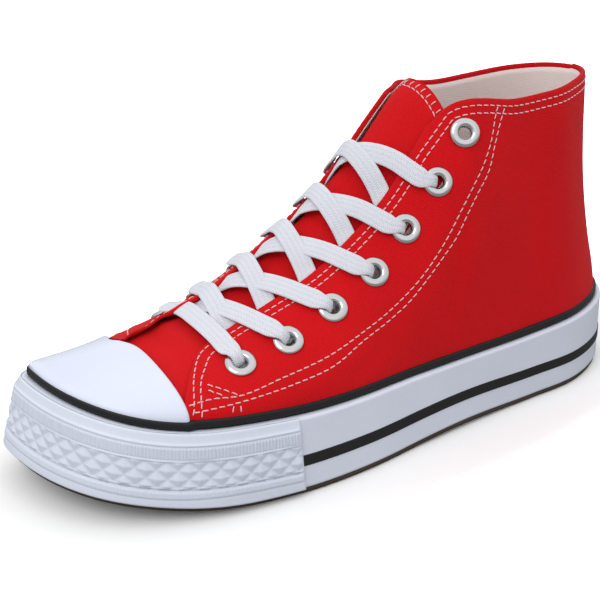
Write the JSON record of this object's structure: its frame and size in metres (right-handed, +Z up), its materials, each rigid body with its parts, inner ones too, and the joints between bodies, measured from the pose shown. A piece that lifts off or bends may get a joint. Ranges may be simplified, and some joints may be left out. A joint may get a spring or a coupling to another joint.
{
  "type": "canvas high-top sneaker",
  "caption": "Left canvas high-top sneaker with vulcanised rubber sole, rubber toe cap and toe bumper, metal lacing eyelets and flat laces crossed over the tongue, standing empty.",
  "frame": {"origin": "centre of the bounding box in plan, at the height of the ground the sole stands on", "axes": "+X towards the toe, +Y towards the outer (lateral) side, +Z up"},
  "size_m": [0.282, 0.1068, 0.1345],
  "materials": {
    "canvas": "woven",
    "rubber": "satin",
    "stripe": "satin",
    "gum": "matte",
    "lining": "woven",
    "eyelet": "polished",
    "lace": "woven"
  },
  "bodies": {
    "root": {"outsole": "gum", "foxing": "rubber", "toe_bumper": "rubber", "piping": "stripe", "toe_cap": "rubber", "upper": "canvas", "tongue": "canvas", "insole": "lining", "eyelet_lateral_1": "eyelet", "eyelet_medial_1": "eyelet", "eyelet_lateral_2": "eyelet", "eyelet_medial_2": "eyelet", "eyelet_lateral_3": "eyelet", "eyelet_medial_3": "eyelet", "eyelet_lateral_4": "eyelet", "eyelet_medial_4": "eyelet", "eyelet_lateral_5": "eyelet", "eyelet_medial_5": "eyelet", "eyelet_lateral_6": "eyelet", "eyelet_medial_6": "eyelet", "eyelet_lateral_7": "eyelet", "eyelet_medial_7": "eyelet", "lace_bar_1": "lace", "lace_cross_2": "lace", "lace_cross_3": "lace", "lace_cross_4": "lace", "lace_cross_5": "lace", "lace_cross_6": "lace"}
  },
  "joints": []
}
